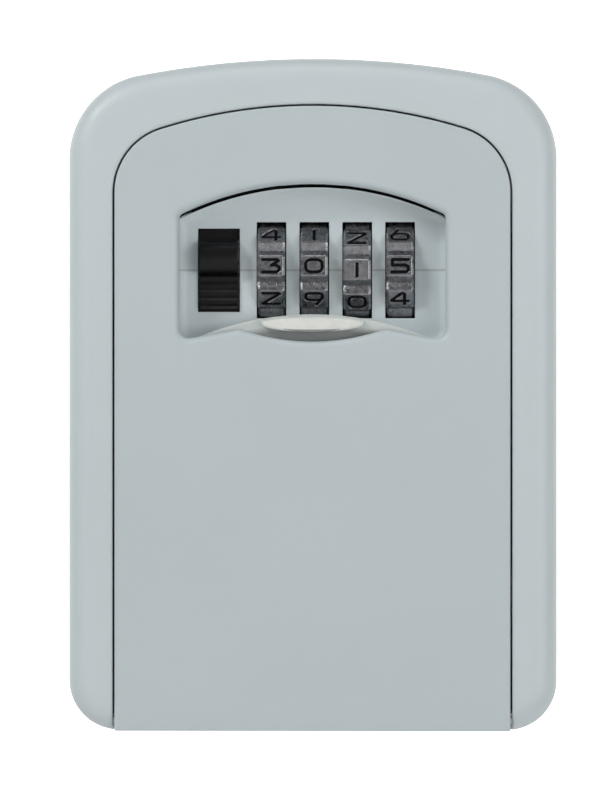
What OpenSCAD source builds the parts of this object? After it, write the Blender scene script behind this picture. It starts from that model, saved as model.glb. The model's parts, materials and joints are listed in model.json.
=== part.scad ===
// Wall-mounted key lock box with a hinged front door and a four-dial combination lock.
// The frame: +Z up, +X to the right of someone facing the box, the front towards -Y.
// The origin is the centre of the back face, where the box meets the wall.
// Modules draw in "front view": x across, y up from the bottom edge, z out from the wall.

/* [Body] */
// Width of the housing
body_w = 85; // [84:1:120]
// Height of the housing at the middle of the arch
body_h = 117; // [98:1:160]
// Depth from the wall to the front rim
body_d = 34; // [33:0.5:60]
// Radius of the arched top edge
top_r = 162; // [130:1:300]
// Radius of the upper corners
corner_r = 14.8; // [12:0.1:18]
// Radius of the lower corners
foot_r = 8.7; // [7:0.1:12]
// Rounding between the sides and the front rim
edge_r = 4; // [1:0.1:4.5]
// Width of the rim beside the door
rim_w = 7.75; // [7:0.05:10]
// Height of the rim over the door
rim_top = 8.05; // [7.5:0.05:10]
// Thickness of the back wall
back_t = 2.5; // [2:0.1:4]
// Thickness of the floor under the keys
floor_t = 2.4; // [2:0.1:4]
// Thickness of the rim's outer skin and inner wall
skin_t = 2.1; // [1.6:0.1:2.5]

/* [Wall screws] */
// Distance between the screw holes across the back
screw_across = 50; // [40:1:56]
// Distance between the screw holes up the back
screw_up = 70; // [50:1:76]
// Radius of each screw hole
screw_r = 2.5; // [2:0.1:3.5]
// Radius of the washer seat round each hole
seat_r = 5; // [4:0.1:7]

/* [Door] */
// Gap between the door and the rim
door_gap = 0.35; // [0.25:0.05:0.6]
// Thickness of the door's front plate
door_t = 2; // [1.6:0.1:2.6]
// Thickness of the door's flanges
flange_t = 1.8; // [1.4:0.1:2.4]
// Depth of the door with its flanges
flange_d = 8; // [6:0.1:9]
// Radius of the door's arched top edge
door_top_r = 88; // [75:1:140]
// Radius of the door's upper corners
door_corner_r = 11.5; // [8:0.1:14]
// Height of the hinge line over the bottom edge
hinge_up = 2.2; // [2:0.1:3]
// Depth of the hinge line behind the front face
hinge_in = 3.2; // [3:0.1:4]
// Radius of the hinge pins
pin_r = 1.1; // [0.8:0.05:1.3]
// Radial clearance of the door on its pins
pin_fit = 0.05; // [0.02:0.01:0.1]
// Length of each hinge pin
pin_len = 10; // [8:0.5:16]
// Length of each hinge pin that the housing holds
pin_hold = 2.2; // [1.6:0.1:2.4]

/* [Window] */
// Half the width of the window
win_half = 23.15; // [22:0.05:24]
// Radius of the window's arched top
win_top_r = 52; // [45:1:90]
// Height of the top of the window over the dial axis
win_over = 14.9; // [13:0.1:15.5]
// Depth of the window's lower corners under the dial axis
win_under = 12; // [11:0.1:13]
// Half the width of the finger scoop
scoop_half = 12.2; // [8:0.1:16]
// Depth of the finger scoop
scoop_deep = 2; // [1:0.1:3]

/* [Shutter] */
// Thickness of the shutter
shutter_t = 1; // [0.8:0.1:1.2]
// Width of the shutter hidden beside each side of the window
shutter_lap = 2.85; // [1.8:0.05:4]
// Depth of the open shutter's top under the dial axis
shutter_down = 7.8; // [7:0.1:9]
// Half the width of the finger lip
lip_half = 9; // [6:0.1:12]

/* [Dials] */
// Place of the first dial, from the middle of the box
dial_first = -7.3; // [-8:0.1:-7]
// Radius of a dial over its lands
dial_r = 9.8; // [9:0.1:10]
// Width of a dial
dial_w = 4.8; // [4.4:0.1:4.9]
// Depth of the dials' fronts behind the door's front face
dial_in = 3.8; // [3.6:0.1:4.4]
// Depth of the dial axis under the top of the box
dial_down = 36.8; // [36:0.1:38]
// Radius of the dial shaft
shaft_r = 1.75; // [1.2:0.05:2.2]
// Radial clearance of the hubs on the shaft
shaft_fit = 0.05; // [0.02:0.01:0.1]
// Sideways travel of the hubs when the code is changed
shift = 1.5; // [1:0.1:1.8]
// Thickness of the hubs' gate flanges
gate_w = 1; // [0.8:0.1:1.2]

/* [Lever and latch] */
// Place of the open lever, from the middle of the box
lever_x = -16.5; // [-17:0.1:-16]
// Width of the open lever's slot
lever_w = 7.35; // [6.5:0.05:7.6]
// Travel of the latch
latch_travel = 2; // [1.2:0.1:2.2]
// Thickness of the latch plate
latch_t = 1.6; // [1.2:0.1:2]

/* [Lock case] */
// Thickness of the lock case's walls
case_t = 1.3; // [1:0.1:1.4]
// Depth of the recessed panel behind the door's front face
panel_in = 6.8; // [6.2:0.1:7]
// Room between the dials' backs and the rear cover
case_room = 1; // [0.8:0.1:2]
// Thickness of the rear cover
cover_t = 1.2; // [1:0.1:1.6]
// Number of coils in each spring
coils = 4; // [3:1:6]

/* [Hidden] */
$fn = 64;
eps = 0.01;
// How far a corner's arc stands proud of the arch it runs into, so that the two truly cross.
seam = 0.004;
door_half = body_w / 2 - rim_w;
door_top = body_h - rim_top - door_gap;
pin_end = door_half + pin_hold;
pin_room = 0.4;
barrel_r = hinge_up;
dial_y = body_h - dial_down;
axis_in = dial_in + dial_r;
shutter_in = door_t + 0.2;
face_in = shutter_in + shutter_t + 0.3;
apron_t = 1.2;
win_top = dial_y + win_over;
win_foot = dial_y - win_under;
// The closed shutter stands a little over the window, and its foot stays a little under it.
shutter_half = win_half + shutter_lap;
shutter_travel = win_over + shutter_down + 0.2;
shutter_top = dial_y - shutter_down;
shutter_h = shutter_travel + win_under - shutter_down + 2.5;
guide_w = 1.2;
guide_x = shutter_half + 0.3 + guide_w / 2;
apron_foot = shutter_top - shutter_h - 1.8;
case_foot = dial_y - win_under - 2.6;
bar_foot = dial_y + dial_r + 0.6;
bar_top = bar_foot + 2.6;
leaf_h = 2.2;
// The case's roof clears the window's recess and the detent leaf over the latch bar.
case_top = max(win_top + 3.5, bar_top + 0.2 + leaf_h + 0.4 + case_t);
case_in = axis_in + dial_r + case_room;
dial_gap = 0.1;
dial_pitch = dial_w + gate_w + shift + dial_gap * 2;
last_dial = dial_first + 3 * dial_pitch;
grip_w = lever_w - 0.3;
lever_plate_w = lever_w + 0.6;
recess_gap = 0.3;
recess_under = 0.9;
// The case holds the widest of the recess, the last hub's spring and the lever's plate.
case_half = max(
  win_half + recess_gap + case_t + 0.05,
  last_dial + 9.6,
  lever_plate_w / 2 - lever_x + case_t + 3.025
);
post_r = 1.8;
post_x = case_half - case_t - 0.9;
post_y = [case_foot + case_t + post_r - 0.3, case_top - case_t - post_r + 0.3];
slot_half_w = dial_w / 2 + 0.2;
panel_back = panel_in + case_t;
slot_half_h = sqrt(pow(dial_r, 2) - pow(axis_in - panel_back, 2)) + 0.3;
digits = 10;
dial_turn = [4.3, 4.3, 0, 4.3];
land_half = 10.7;
groove_r = dial_r - 1;
dial_bevel = 0.35;
bore_r = 5.9;
spline_r = 6.5;
spline_w = shift + 0.1;
hub_gap = 0.1;
sleeve_r = 3.4;
gate_r = axis_in - panel_back - 0.2;
gate_x = dial_w / 2 + dial_gap;
hub_right = gate_x + gate_w + 0.1;
hub_left = dial_pitch - hub_right - hub_gap;
hub_first = dial_w / 2 + 2.3;
finger_w = 0.8;
finger_foot = dial_y + gate_r + 0.2;
nose_half = 4;
nose_top = door_top - 4.6;
lug_half = 2;
lug_y = bar_foot + 1.6;
lug_t = 1.8;
lever_foot = dial_y - 9.3;
lever_top = lug_y + lug_t;
lever_plate_in = panel_back + 0.1;
lever_plate_t = 2;
bump_foot = dial_y - 0.4;
bump_top = dial_y + 5.1;
slot_foot = dial_y - 7.3;
slot_top = dial_y + 7.3;
rib_r = 0.55;
rib_pitch = 1.4;
strike_in = axis_in - latch_t / 2 - 0.3;
strike_t = 1.6;
strike_w = 18;
pad_w = 24;
strike_foot = nose_top + 0.5;
strike_leaf = 1.1;
pad_foot = nose_top + latch_travel + 0.4 + strike_leaf;
rivet_x = 6;
rivet_in = axis_in + 4.4;
fork_x = dial_first - dial_w / 2 - 2.4;
fork_t = 1.2;
fork_half = 5;
slider_in = case_in - 1.7;
cover_back = case_in + cover_t;
tab_h = (body_d - back_t - cover_back) / 2;
slider_t = case_in - 0.2 - slider_in;
reset_w = 4.5;
reset_h = 6.2;
reset_x = fork_x - 2.4;
case_screw_x = door_half - 5;
case_screw_y = [apron_foot + 4, dial_y + 9.8];
screw_shank = 1.1;
screw_head = 1.9;
cover_shank = 0.8;
cover_head = 1.6;
screw_fit = 0.05;

// The distance from the wall of something this deep behind the front face.
function out(depth) = body_d - depth;

// The place of a dial along the shaft, counted from 1.
function dial_x(i) = dial_first + (i - 1) * dial_pitch;

// Turns the front view into the part's own frame.
module stand() {
  translate([0, 0, -body_h / 2])
    rotate([90, 0, 0])
      children();
}

// A plate between two depths behind the front face, drawn as a front-view outline.
module layer(front, back) {
  translate([0, 0, out(back)])
    linear_extrude(back - front)
      children();
}

// A block given by its middle across, its foot, its width, height and two depths.
module block(x, foot, w, h, front, back) {
  layer(front, back)
    translate([x - w / 2, foot])
      square([w, h]);
}

// Places a child, drawn about the z axis, on a line that runs across the box.
module across(x, y, depth) {
  translate([x, y, out(depth)])
    rotate([0, 90, 0])
      children();
}

// The height of a corner's centre under an arch, for a half width, top, arch and corner.
function corner_y(half, top, arch, corner) =
  top - arch + sqrt(pow(arch - corner, 2) - pow(half - corner, 2));

// A disc with its front edge rounded, thick enough to reach from the wall to the front.
module rounded_disc(r, round_r, front = body_d) {
  rotate_extrude()
    difference() {
      translate([0, -1])
        square([r, front + 1]);
      translate([r - round_r, front - round_r])
        difference() {
          square(round_r + 1);
          circle(round_r);
        }
    }
}

// What stands outside one rounded corner, between the side and the arch.
module corner_waste(half, top, arch, corner) {
  y = corner_y(half, top, arch, corner);
  x = half - corner;
  reach = (arch + 4) / (arch - corner);
  linear_extrude(body_d * 3, center = true)
    polygon([
      [x, y],
      [half + 4, y],
      [half + 4, top + 4],
      [x * reach, top - arch + (y - top + arch) * reach]
    ]);
}

// The arched front outline, with plain feet: a flat sheet.
module arched(half, foot, top, arch, corner) {
  y = corner_y(half, top, arch, corner);
  x = half - corner;
  reach = (arch + 4) / (arch - corner);
  difference() {
    intersection() {
      translate([0, top - arch])
        circle(arch);
      translate([-half, foot])
        square([half * 2, top - foot + 1]);
    }
    for (side = [-1, 1])
      scale([side, 1])
        difference() {
          polygon([
            [x, y],
            [half + 4, y],
            [half + 4, top + 4],
            [x * reach, top - arch + (y - top + arch) * reach]
          ]);
          translate([x, y])
            circle(corner + seam);
        }
  }
}

// The solid block of the housing, with its arch, its corners and its rounded front edge.
module housing_block() {
  half = body_w / 2;
  y = corner_y(half, body_h, top_r, corner_r);
  difference() {
    intersection() {
      translate([0, body_h - top_r, 0])
        rounded_disc(top_r, edge_r);
      translate([0, -1, 0])
        rotate([-90, 0, 0])
          linear_extrude(body_h + 2)
            side_section(half);
      translate([-half - 1, 0, 0])
        cube([body_w + 2, body_h + 1, body_d]);
    }
    for (side = [0, 1])
      mirror([side, 0, 0]) {
        difference() {
          corner_waste(half, body_h, top_r, corner_r);
          translate([half - corner_r, y, 0])
            rounded_disc(corner_r + seam, edge_r, body_d + seam);
        }
        difference() {
          translate([half - foot_r, -1, -1])
            cube([foot_r + 1, foot_r + 1, body_d + 2]);
          translate([half - foot_r, foot_r, 0])
            rounded_disc(foot_r, edge_r);
        }
      }
  }
}

// The level section through both sides: a slab whose front edges are rounded.
module side_section(half) {
  difference() {
    translate([-half, -body_d])
      square([half * 2, body_d]);
    for (side = [-1, 1])
      scale([side, 1])
        translate([half - edge_r, edge_r - body_d])
          difference() {
            translate([0, -edge_r - 1])
              square(edge_r + 1);
            circle(edge_r);
          }
  }
}

// The opening that the door closes and the keys hang behind.
module door_opening() {
  arched(door_half, -1, door_top + door_gap, door_top_r + door_gap, door_corner_r + door_gap);
}

// The hollow in the back of the rim, between its skins, parted by ribs.
module rim_pocket() {
  outer = skin_t;
  inner = rim_w - skin_t;
  difference() {
    arched(body_w / 2 - outer, foot_r, body_h - outer, top_r - outer, corner_r - outer);
    arched(body_w / 2 - inner, 0, body_h - inner, top_r - inner, corner_r - inner);
    for (rib = [0.3, 0.55, 0.8])
      translate([-body_w, body_h * rib])
        square([body_w * 2, skin_t]);
    for (rib = [-1, 0, 1])
      translate([rib * body_w / 5 - skin_t / 2, body_h / 2])
        square([skin_t, body_h]);
  }
}

module housing() {
  color([0.78, 0.82, 0.83])
    stand()
      difference() {
        union() {
          difference() {
            housing_block();
            translate([0, 0, back_t])
              linear_extrude(body_d)
                door_opening();
            translate([0, 0, -1])
              linear_extrude(body_d - edge_r)
                rim_pocket();
          }
          // floor of the key space, set back behind the hinge barrel
          block(0, 0, door_half * 2 + 1, floor_t, hinge_in + 3, body_d - eps);
          // pad for the strike plate
          intersection() {
            block(0, pad_foot, pad_w, rim_top + 4, strike_in - strike_t, strike_in + 12);
            linear_extrude(body_d)
              arched(body_w / 2 - 3, 0, body_h - 3, top_r - 3, corner_r - 3);
          }
          for (x = [-1, 1], y = [-1, 1])
            translate([x * screw_across / 2, body_h / 2 + y * screw_up / 2, 0])
              cylinder(r = seat_r, h = back_t + 0.6);
        }
        for (x = [-1, 1], y = [-1, 1])
          translate([x * screw_across / 2, body_h / 2 + y * screw_up / 2, -1])
            cylinder(r = screw_r, h = back_t + 3);
        across(-pin_end, hinge_up, hinge_in)
          cylinder(r = pin_r, h = pin_end * 2);
        for (side = [-1, 1])
          rivet_line(side)
            cylinder(r = screw_shank + screw_fit, h = 5);
      }
}

// Places a child, drawn about the z axis, on a strike rivet's upright line.
module rivet_line(side) {
  translate([side * rivet_x, pad_foot - strike_leaf, out(rivet_in)])
    rotate([-90, 0, 0])
      children();
}

module strike_plate() {
  color([0.7, 0.71, 0.72])
    stand()
      difference() {
        union() {
          block(0, strike_foot, strike_w, pad_foot - strike_foot, strike_in - strike_t, strike_in);
          block(0, pad_foot - strike_leaf, strike_w, strike_leaf, strike_in - strike_t, rivet_in + 3);
        }
        for (side = [-1, 1])
          rivet_line(side)
            translate([0, 0, -1])
              cylinder(r = screw_shank + screw_fit, h = strike_leaf + 2);
      }
}

module strike_rivets() {
  color([0.75, 0.75, 0.76])
    stand()
      for (side = [-1, 1])
        rivet_line(side) {
          cylinder(r = screw_shank, h = 4.4);
          translate([0, 0, -0.6])
            cylinder(r1 = 1.4, r2 = 1.9, h = 0.6);
        }
}

// A hinge pin: a plain pin with a chamfered inner end. Side -1 is the left one.
module hinge_pin(side) {
  color([0.72, 0.73, 0.74])
    stand()
      mirror([side < 0 ? 1 : 0, 0, 0])
        across(pin_end - pin_len, hinge_up, hinge_in) {
          translate([0, 0, 0.4])
            cylinder(r = pin_r, h = pin_len - 0.4);
          cylinder(r1 = pin_r - 0.4, r2 = pin_r, h = 0.4);
        }
}

// The window's outline: an arched top and a sill that rises to a scoop for the finger.
module window_outline() {
  scoop_r = (pow(scoop_half, 2) + pow(scoop_deep, 2)) / (2 * scoop_deep);
  sill = win_foot + 1.5;
  difference() {
    intersection() {
      translate([0, win_top - win_top_r])
        circle(win_top_r);
      translate([-win_half, win_foot - 1])
        square([win_half * 2, win_over + win_under + 2]);
    }
    difference() {
      polygon([
        [-win_half - 1, win_foot - 3],
        [-win_half - 1, win_foot + 1.2],
        [-win_half, win_foot + 1.2],
        [-win_half + 1.4, win_foot],
        [-win_half + 4, win_foot],
        [-scoop_half - 1.2, sill],
        [scoop_half + 1.2, sill],
        [win_half - 4, win_foot],
        [win_half - 1.4, win_foot],
        [win_half, win_foot + 1.2],
        [win_half + 1, win_foot + 1.2],
        [win_half + 1, win_foot - 3]
      ]);
      translate([0, sill - scoop_deep + scoop_r])
        circle(scoop_r);
    }
  }
}

module door_shell() {
  color([0.74, 0.78, 0.79])
    stand()
      difference() {
        union() {
          layer(0, door_t)
            difference() {
              arched(door_half - door_gap, 0, door_top, door_top_r, door_corner_r);
              window_outline();
            }
          layer(door_t - eps, flange_d)
            difference() {
              arched(door_half - door_gap, barrel_r * 2, door_top, door_top_r, door_corner_r);
              arched(
                door_half - door_gap - flange_t, 0, door_top - flange_t,
                door_top_r - flange_t, door_corner_r - flange_t
              );
            }
          // hinge barrel along the foot of the plate
          across(door_gap - door_half, hinge_up, hinge_in)
            cylinder(r = barrel_r, h = (door_half - door_gap) * 2);
          // guides beside the shutter
          for (side = [-1, 1])
            block(
              side * guide_x, apron_foot, guide_w, case_top - apron_foot,
              door_t - eps, face_in
            );
          for (x = [-1, 1], y = case_screw_y)
            layer(door_t - eps, face_in)
              translate([x * case_screw_x, y])
                circle(2.2);
        }
        for (side = [0, 1])
          mirror([side, 0, 0])
            across(pin_end - pin_len - pin_room, hinge_up, hinge_in)
              cylinder(r = pin_r + pin_fit, h = pin_len + pin_room);
        for (x = [-1, 1], y = case_screw_y)
          layer(0.9, face_in + 1)
            translate([x * case_screw_x, y])
              circle(screw_shank + screw_fit);
      }
}

// The slots through the recessed panel: four dials and the open lever.
module panel_slots() {
  for (i = [1 : 4])
    translate([dial_x(i) - slot_half_w, dial_y - slot_half_h])
      square([slot_half_w * 2, slot_half_h * 2]);
  translate([lever_x - lever_w / 2, slot_foot])
    square([lever_w, slot_top - slot_foot]);
}

module lock_case() {
  inner = case_half - case_t;
  height = case_top - case_foot;
  color([0.76, 0.8, 0.81])
    stand()
      difference() {
        union() {
          // apron that the shutter slides in front of
          layer(face_in, face_in + apron_t)
            intersection() {
              arched(
                door_half - door_gap - flange_t - 0.9, 0, door_top - flange_t - 0.9,
                door_top_r - flange_t - 0.9, door_corner_r - flange_t - 0.9
              );
              translate([-body_w, apron_foot])
                square([body_w * 2, case_top - apron_foot]);
            }
          block(0, case_foot, case_half * 2, height, face_in + eps, case_in);
        }
        // recess in front of the panel
        layer(0, panel_in)
          recess_outline();
        // room for the mechanism behind the panel
        difference() {
          block(0, case_foot + case_t, inner * 2, height - 2 * case_t, panel_back, case_in + 1);
          for (x = [-1, 1], y = post_y)
            translate([x * post_x, y, 0])
              cylinder(r = post_r, h = body_d);
        }
        layer(0, panel_back + 1)
          panel_slots();
        for (x = [-1, 1], y = post_y)
          layer(case_in - 8, case_in + 1)
            translate([x * post_x, y])
              circle(cover_shank + screw_fit);
        across(-body_w / 2, dial_y, axis_in)
          cylinder(r = shaft_r + shaft_fit, h = body_w);
        // slot in the roof for the latch nose
        block(
          0, case_top - case_t - 1, nose_half * 2 + 0.6, case_t + 2,
          axis_in - latch_t / 2 - 0.3, axis_in + latch_t / 2 + 0.3
        );
        for (x = [-1, 1], y = case_screw_y)
          layer(0, body_d)
            translate([x * case_screw_x, y])
              circle(screw_shank + screw_fit);
      }
}

// The recess's own outline: the window, a little larger all round, with a flat foot.
module recess_outline() {
  intersection() {
    translate([0, win_top - win_top_r])
      circle(win_top_r + recess_gap);
    translate([-win_half - recess_gap, win_foot - recess_under])
      square([(win_half + recess_gap) * 2, win_over + win_under + 2]);
  }
}

module rear_cover() {
  inset = 0.3;
  color([0.3, 0.31, 0.33])
    stand()
      difference() {
        union() {
          layer(case_in, cover_back)
            rounded_rect(case_half * 2 - inset * 2, case_top - case_foot - inset * 2, 2.5);
          // stiffening bead round the reset slot
          layer(cover_back - eps, cover_back + 0.5)
            translate([reset_x + shift / 2, dial_y])
              difference() {
                square([reset_w + 6.1, reset_h + 5.2], center = true);
                square([reset_w + 4.5, reset_h + 3.6], center = true);
              }
        }
        layer(case_in - 1, cover_back + 2)
          translate([reset_x + shift / 2, dial_y])
            square([reset_w + shift + 0.6, reset_h + 0.6], center = true);
        for (x = [-1, 1], y = post_y)
          layer(case_in - 1, cover_back + 1)
            translate([x * post_x, y])
              circle(cover_shank + screw_fit);
      }
}

// A rectangle with round corners, centred on the lock case.
module rounded_rect(w, h, r) {
  translate([0, (case_foot + case_top) / 2])
    difference() {
      square([w, h], center = true);
      for (x = [-1, 1], y = [-1, 1])
        scale([x, y])
          translate([w / 2 - r, h / 2 - r])
            difference() {
              square(r + 1);
              circle(r);
            }
    }
}

// A pan-head screw from its head's seat forwards.
module screw(shank_r, head_r, head_h, length) {
  difference() {
    union() {
      cylinder(r = shank_r, h = length);
      translate([0, 0, -head_h])
        cylinder(r1 = head_r * 0.8, r2 = head_r, h = head_h);
    }
    for (turn = [0, 90])
      rotate([0, 0, turn])
        translate([0, 0, -head_h])
          cube([head_r * 1.1, 0.4, head_h], center = true);
  }
}

module cover_screws() {
  color([0.62, 0.63, 0.65])
    stand()
      for (x = [-1, 1], y = post_y)
        translate([x * post_x, y, out(cover_back)])
          screw(cover_shank, cover_head, 0.8, 6);
}

module case_screws() {
  color([0.62, 0.63, 0.65])
    stand()
      for (x = [-1, 1], y = case_screw_y)
        translate([x * case_screw_x, y, out(face_in + apron_t)])
          screw(screw_shank, screw_head, 1, face_in + apron_t - 1.1);
}

module dial_shaft() {
  length = case_half * 2 + 2.4;
  color([0.75, 0.76, 0.77])
    stand()
      across(-length / 2, dial_y, axis_in)
        difference() {
          cylinder(r = shaft_r, h = length);
          for (end = [0.6, length - 1.2])
            translate([0, 0, end])
              difference() {
                cylinder(r = shaft_r + 1, h = 0.6);
                cylinder(r = shaft_r - 0.45, h = 0.6);
              }
        }
}

module shaft_clips() {
  color([0.25, 0.25, 0.27])
    stand()
      for (side = [0, 1])
        mirror([side, 0, 0])
          across(case_half + 0.05, dial_y, axis_in)
            difference() {
              cylinder(r = shaft_r + 1.2, h = 0.5);
              translate([0, 0, -1])
                cylinder(r = shaft_r - 0.4, h = 3);
              translate([-shaft_r - 2, -0.9, -1])
                cube([shaft_r + 2, 1.8, 3]);
            }
}

// A leaf with one bent finger per dial; each tip drops into the groove behind its dial.
module detent_spring() {
  leaf_in = axis_in + dial_r + 0.35;
  tip_r = 0.35;
  tip_y = dial_y + (dial_r + 0.05) * sin(18);
  tip_in = axis_in + (dial_r + 0.05) * cos(18);
  color([0.72, 0.73, 0.75])
    stand() {
      block(dial_x(2.5), bar_top + 0.2, dial_pitch * 3 + 3.2, leaf_h, leaf_in, leaf_in + 0.3);
      for (i = [1 : 4]) {
        block(dial_x(i), dial_y + 2.2, 3.2, bar_top - dial_y - 1.6, leaf_in, leaf_in + 0.3);
        across(dial_x(i) - 1.6, tip_y, tip_in) {
          cylinder(r = tip_r, h = 3.2);
          translate([0, -tip_r, 0])
            cube([leaf_in - tip_in + 0.1, tip_r * 2, 3.2]);
        }
      }
    }
}

// A coil of round wire along z: rings of points carried along a helix and skinned.
module coil(r, wire, length) {
  sides = 8;
  rings = coils * 20;
  rise = length - wire * 2;
  points = [
    for (k = [0 : rings], j = [0 : sides - 1])
      let (a = k * 18, b = j * 360 / sides, reach = r + wire * cos(b))
        [reach * cos(a), reach * sin(a), wire + rise * k / rings + wire * sin(b)]
  ];
  skin = [
    for (k = [0 : rings - 1], j = [0 : sides - 1])
      let (m = (j + 1) % sides)
        [k * sides + j, k * sides + m, (k + 1) * sides + m, (k + 1) * sides + j]
  ];
  ends = [
    [for (j = [sides - 1 : -1 : 0]) j],
    [for (j = [0 : sides - 1]) rings * sides + j]
  ];
  polyhedron(points, concat(skin, ends), convexity = 8);
}

module hub_spring() {
  start = last_dial + hub_right + 0.1;
  color([0.7, 0.71, 0.73])
    stand()
      across(start, dial_y, axis_in)
        coil(2.7, 0.3, case_half - case_t - start - 0.1);
}

module latch_spring() {
  coil_r = 1.3;
  wire_r = 0.25;
  start = case_foot + case_t + 0.1;
  color([0.7, 0.71, 0.73])
    stand()
      translate([lever_x, start, out(panel_back + coil_r + wire_r + 0.1)])
        rotate([-90, 0, 0])
          coil(coil_r, wire_r, lever_foot - start - 0.1);
}

// The shutter's half-moon lip, between its arched top and a sagging lower edge.
module lip_outline() {
  sag = 1.6;
  ends = shutter_top - 1.5;
  sag_r = (pow(lip_half, 2) + pow(sag, 2)) / (2 * sag);
  intersection() {
    translate([0, shutter_top - 0.4 - win_top_r])
      circle(win_top_r);
    translate([0, ends - sag + sag_r])
      circle(sag_r);
    translate([-lip_half, ends - sag - 1])
      square([lip_half * 2, sag + 4]);
  }
}

module shutter() {
  color([0.8, 0.82, 0.8])
    stand() {
      layer(shutter_in, shutter_in + shutter_t)
        intersection() {
          translate([0, shutter_top - win_top_r])
            circle(win_top_r);
          translate([-shutter_half, shutter_top - shutter_h])
            square([shutter_half * 2, shutter_h + 1]);
        }
      layer(0.3, shutter_in + eps)
        lip_outline();
    }
}

// Leaves that ride on the shutter's edges and rub on the guides.
module shutter_springs() {
  color([0.72, 0.73, 0.75])
    stand()
      for (side = [-1, 1])
        block(
          side * (shutter_half - 2), shutter_top - shutter_h + 3, 2, 9,
          shutter_in + shutter_t, shutter_in + shutter_t + 0.15
        );
}

module open_lever() {
  color([0.05, 0.05, 0.055])
    stand()
      difference() {
        union() {
          block(
            lever_x, lever_foot, lever_plate_w, lever_top - lever_foot,
            lever_plate_in, lever_plate_in + lever_plate_t
          );
          block(
            lever_x, slot_foot + 0.6, grip_w, slot_top - slot_foot - 0.6 - latch_travel,
            panel_in + 0.4, lever_plate_in + eps
          );
          // thumb bump
          intersection() {
            block(lever_x, bump_foot, grip_w, bump_top - bump_foot, panel_in - 2.8, panel_in + 1);
            across(lever_x - grip_w / 2, (bump_foot + bump_top) / 2, panel_in + 1.2)
              cylinder(r = 3.9, h = grip_w);
          }
          // grip ribs under the bump
          for (y = [slot_foot + 1 : rib_pitch : bump_foot - rib_pitch / 2])
            across(lever_x - grip_w / 2, y, panel_in + 0.4)
              cylinder(r = rib_r, h = grip_w);
          block(
            lever_x, lug_y - lug_t / 2, lug_half * 2, lug_t,
            lever_plate_in + 1, axis_in + latch_t / 2 + 1.6
          );
        }
        latch_pin_line()
          cylinder(r = 0.55, h = 6, center = true);
      }
}

// Places a child, drawn about the z axis, on the latch pin's upright line.
module latch_pin_line() {
  translate([lever_x, lug_y, out(axis_in + latch_t / 2 + 0.8)])
    rotate([-90, 0, 0])
      children();
}

module latch_pin() {
  color([0.72, 0.73, 0.75])
    stand()
      latch_pin_line()
        cylinder(r = 0.5, h = 3.4, center = true);
}

module latch_plate() {
  bevel = 1.2;
  bar_left = lever_x - 3;
  bar_right = last_dial + gate_x + gate_w + 0.6;
  color([0.7, 0.71, 0.73])
    stand()
      difference() {
        layer(axis_in - latch_t / 2, axis_in + latch_t / 2)
          difference() {
            union() {
              translate([bar_left, bar_foot])
                square([bar_right - bar_left, bar_top - bar_foot]);
              translate([bar_left, bar_foot - 1])
                square([6, bar_top - bar_foot + 2.2]);
              for (i = [1 : 4])
                translate([dial_x(i) + gate_x + 0.1, finger_foot])
                  square([finger_w, bar_foot - finger_foot + 0.5]);
              translate([-nose_half, bar_foot])
                square([nose_half * 2, nose_top - bar_foot]);
            }
            translate([lever_x - lug_half - 0.1, lug_y - 1])
              square([lug_half * 2 + 0.2, 2]);
          }
        // bevel that lets the door slam shut
        translate([0, nose_top, out(axis_in + latch_t / 2)])
          rotate([45, 0, 0])
            cube([nose_half * 3, bevel, bevel], center = true);
      }
}

// A dial's section: ten flat lands with sloping grooves between them.
module dial_section() {
  polygon([
    for (n = [0 : digits - 1])
      for (corner = [[-land_half, dial_r], [land_half, dial_r], [15, groove_r], [21, groove_r]])
        let (a = n * 360 / digits + corner[0])
          [corner[1] * cos(a), corner[1] * sin(a)]
  ]);
}

// Ten teeth round a circle, for the hub, or grown by a gap, for the dial's bore.
module spline_section(r, tip, gap) {
  circle(r + gap);
  for (n = [0 : digits - 1])
    rotate(n * 360 / digits)
      translate([0, -0.5 - gap])
        square([tip + gap, 1 + gap * 2]);
}

module dial(i) {
  color([0.55, 0.55, 0.56])
    stand()
      across(dial_x(i) - dial_w / 2, dial_y, axis_in)
        rotate(-dial_turn[i - 1])
          difference() {
            intersection() {
              linear_extrude(dial_w)
                dial_section();
              union() {
                cylinder(r1 = dial_r - dial_bevel, r2 = dial_r, h = dial_bevel);
                translate([0, 0, dial_bevel])
                  cylinder(r = dial_r, h = dial_w - 2 * dial_bevel);
                translate([0, 0, dial_w - dial_bevel])
                  cylinder(r1 = dial_r, r2 = dial_r - dial_bevel, h = dial_bevel);
              }
            }
            translate([0, 0, -1])
              linear_extrude(dial_w + 2)
                spline_section(bore_r, spline_r, 0);
            translate([0, 0, spline_w])
              cylinder(r = spline_r + 0.2, h = dial_w);
          }
}

// A code hub: sleeve, spline ring and gate flange. The first one reaches the fork.
module hub(i) {
  reach = i == 1 ? hub_first : hub_left;
  color([0.8, 0.66, 0.35])
    stand()
      across(dial_x(i), dial_y, axis_in)
        rotate(-dial_turn[i - 1])
          difference() {
            union() {
              translate([0, 0, -reach])
                cylinder(r = sleeve_r, h = reach + hub_right);
              translate([0, 0, 0.1 - dial_w / 2])
                linear_extrude(spline_w - 0.2)
                  spline_section(bore_r - hub_gap, spline_r - hub_gap, 0);
              translate([0, 0, gate_x])
                cylinder(r = gate_r, h = gate_w);
            }
            translate([0, 0, -10])
              cylinder(r = shaft_r + shaft_fit, h = 30);
            // gate that the fence finger drops into
            rotate(dial_turn[i - 1])
              translate([-1.1, gate_r - 1.7, gate_x - 0.01])
                cube([2.2, 3, gate_w + 0.02]);
          }
}

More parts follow.
